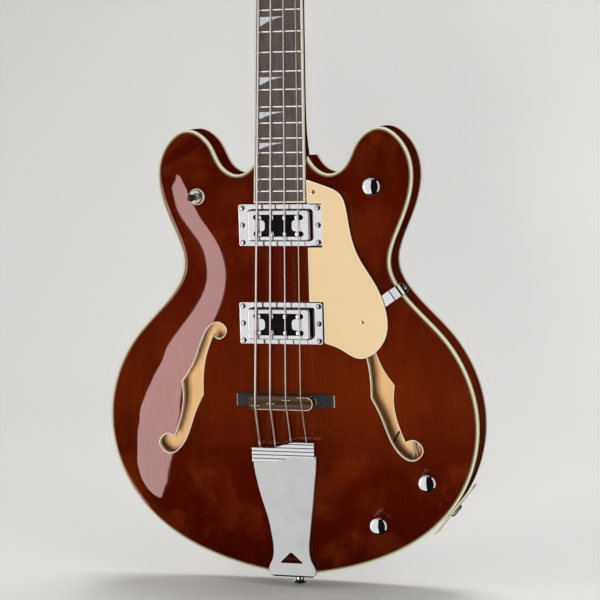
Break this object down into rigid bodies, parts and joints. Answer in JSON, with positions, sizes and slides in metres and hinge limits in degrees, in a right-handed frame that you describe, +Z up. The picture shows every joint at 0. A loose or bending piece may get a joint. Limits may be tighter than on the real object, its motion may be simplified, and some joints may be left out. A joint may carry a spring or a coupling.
{
  "type": "hollow-body electric bass guitar",
  "caption": "Hollow-body electric bass guitar with two cutaways, bound f-holes, two covered pickups, a raised pickguard, a wooden bridge and a trapeze tailpiece.",
  "frame": {"origin": "where a wall hanger's arms carry the head, in the middle of the wood just above the nut", "axes": "+Z up along the body towards the head, -Y the way the strings and the front face, +X to the treble side"},
  "size_m": [0.42, 0.1471, 1.1938],
  "materials": {
    "black_plastic": "satin",
    "blue_wire": "satin",
    "bone": "polished",
    "chrome": "polished",
    "cream_binding": "polished",
    "cream_plastic": "polished",
    "ebony": "oiled",
    "pale_wood": "bare",
    "rosewood": "oiled",
    "steel": "plain",
    "walnut_lacquer": "high-gloss stained lacquer",
    "white_wire": "satin"
  },
  "bodies": {
    "guitar": {"back_binding": "cream_binding", "back_plate": "walnut_lacquer", "bass_f_hole_binding": "cream_binding", "blue_lead": "blue_wire", "bridge_base": "ebony", "bridge_pickup_coils": "black_plastic", "bridge_pickup_cover": "chrome", "bridge_pickup_ring": "chrome", "centre_block": "pale_wood", "end_strap_button": "chrome", "fingerboard": "rosewood", "fingerboard_binding": "cream_binding", "front_binding": "cream_binding", "heel_strap_button": "chrome", "jack_nut": "chrome", "jack_plate": "chrome", "jack_socket": "chrome", "master_volume_pot": "steel", "neck": "walnut_lacquer", "neck_pickup_coils": "black_plastic", "neck_pickup_cover": "chrome", "neck_pickup_ring": "chrome", "nut": "bone", "pickguard": "cream_plastic", "pickguard_bracket": "chrome", "pickguard_spacer": "black_plastic", "rim": "walnut_lacquer", "string_a": "steel", "string_d": "steel", "string_e": "steel", "string_g": "steel", "tailpiece": "chrome", "toggle_nut": "chrome", "toggle_switch": "steel", "tone_pot": "steel", "top_plate": "walnut_lacquer", "treble_f_hole_binding": "cream_binding", "truss_rod": "steel", "truss_rod_cover": "black_plastic", "tuner_a_housing": "chrome", "tuner_d_housing": "chrome", "tuner_e_housing": "chrome", "tuner_g_housing": "chrome", "volume_pot": "steel", "white_lead": "white_wire"},
    "tuner_e_key": {"tuner_e_key": "chrome"},
    "tuner_e_post": {"tuner_e_post": "chrome"},
    "tuner_a_key": {"tuner_a_key": "chrome"},
    "tuner_a_post": {"tuner_a_post": "chrome"},
    "tuner_d_key": {"tuner_d_key": "chrome"},
    "tuner_d_post": {"tuner_d_post": "chrome"},
    "tuner_g_key": {"tuner_g_key": "chrome"},
    "tuner_g_post": {"tuner_g_post": "chrome"},
    "master_volume_knob": {"master_volume_knob": "chrome"},
    "tone_knob": {"tone_knob": "chrome"},
    "volume_knob": {"volume_knob": "chrome"},
    "toggle_lever": {"toggle_lever": "black_plastic"},
    "bridge_saddle": {"bridge_saddle": "rosewood"},
    "bass_thumbwheel": {"bass_thumbwheel": "steel"},
    "treble_thumbwheel": {"treble_thumbwheel": "steel"}
  },
  "joints": [
    {"name": "tuner_e_turn", "type": "hinge", "parent": "guitar", "child": "tuner_e_key", "pos_m": [-0.026, 0.01998, 0.01828], "axis": [-1, 0, 0], "continuous": true},
    {"name": "tuner_e_wind", "type": "hinge", "parent": "guitar", "child": "tuner_e_post", "pos_m": [-0.026, 0.00251, 0.03669], "axis": [0, -0.9628, 0.2703], "continuous": true},
    {"name": "tuner_a_turn", "type": "hinge", "parent": "guitar", "child": "tuner_a_key", "pos_m": [-0.027, 0.04106, 0.09338], "axis": [-1, 0, 0], "continuous": true},
    {"name": "tuner_a_wind", "type": "hinge", "parent": "guitar", "child": "tuner_a_post", "pos_m": [-0.027, 0.02359, 0.11178], "axis": [0, -0.9628, 0.2703], "continuous": true},
    {"name": "tuner_d_turn", "type": "hinge", "parent": "guitar", "child": "tuner_d_key", "pos_m": [0.027, 0.04106, 0.09338], "axis": [1, 0, 0], "continuous": true},
    {"name": "tuner_d_wind", "type": "hinge", "parent": "guitar", "child": "tuner_d_post", "pos_m": [0.027, 0.02359, 0.11178], "axis": [0, -0.9628, 0.2703], "continuous": true},
    {"name": "tuner_g_turn", "type": "hinge", "parent": "guitar", "child": "tuner_g_key", "pos_m": [0.026, 0.01998, 0.01828], "axis": [1, 0, 0], "continuous": true},
    {"name": "tuner_g_wind", "type": "hinge", "parent": "guitar", "child": "tuner_g_post", "pos_m": [0.026, 0.00251, 0.03669], "axis": [0, -0.9628, 0.2703], "continuous": true},
    {"name": "master_volume_turn", "type": "hinge", "parent": "guitar", "child": "master_volume_knob", "pos_m": [0.1035, -0.05573, -0.57925], "axis": [0, -1, 0], "range_deg": [0, 290]},
    {"name": "tone_turn", "type": "hinge", "parent": "guitar", "child": "tone_knob", "pos_m": [0.1575, -0.05646, -0.89526], "axis": [0, -1, 0], "range_deg": [0, 290]},
    {"name": "volume_turn", "type": "hinge", "parent": "guitar", "child": "volume_knob", "pos_m": [0.103, -0.05657, -0.94376], "axis": [0, -1, 0], "range_deg": [0, 290]},
    {"name": "toggle_flick", "type": "hinge", "parent": "guitar", "child": "toggle_lever", "pos_m": [-0.0973, -0.05609, -0.58976], "axis": [1, 0, 0], "range_deg": [-12, 12]},
    {"name": "saddle_height", "type": "slide", "parent": "guitar", "child": "bridge_saddle", "axis": [0, -1, 0], "range_m": [-0.0021, 0]},
    {"name": "bass_wheel_turn", "type": "hinge", "parent": "bridge_saddle", "child": "bass_thumbwheel", "pos_m": [-0.031, -0.07509, -0.81079], "axis": [0, -1, 0], "range_deg": [-1080, 0]},
    {"name": "treble_wheel_turn", "type": "hinge", "parent": "bridge_saddle", "child": "treble_thumbwheel", "pos_m": [0.031, -0.07509, -0.81079], "axis": [0, -1, 0], "range_deg": [-1080, 0]}
  ],
  "couplings": [
    {"joint": "tuner_e_wind", "follows": "tuner_e_turn", "ratio": -0.05},
    {"joint": "tuner_a_wind", "follows": "tuner_a_turn", "ratio": -0.05},
    {"joint": "tuner_d_wind", "follows": "tuner_d_turn", "ratio": 0.05},
    {"joint": "tuner_g_wind", "follows": "tuner_g_turn", "ratio": 0.05},
    {"joint": "bass_wheel_turn", "follows": "saddle_height", "rad_per_m": 8975.9},
    {"joint": "treble_wheel_turn", "follows": "saddle_height", "rad_per_m": 8975.9}
  ]
}
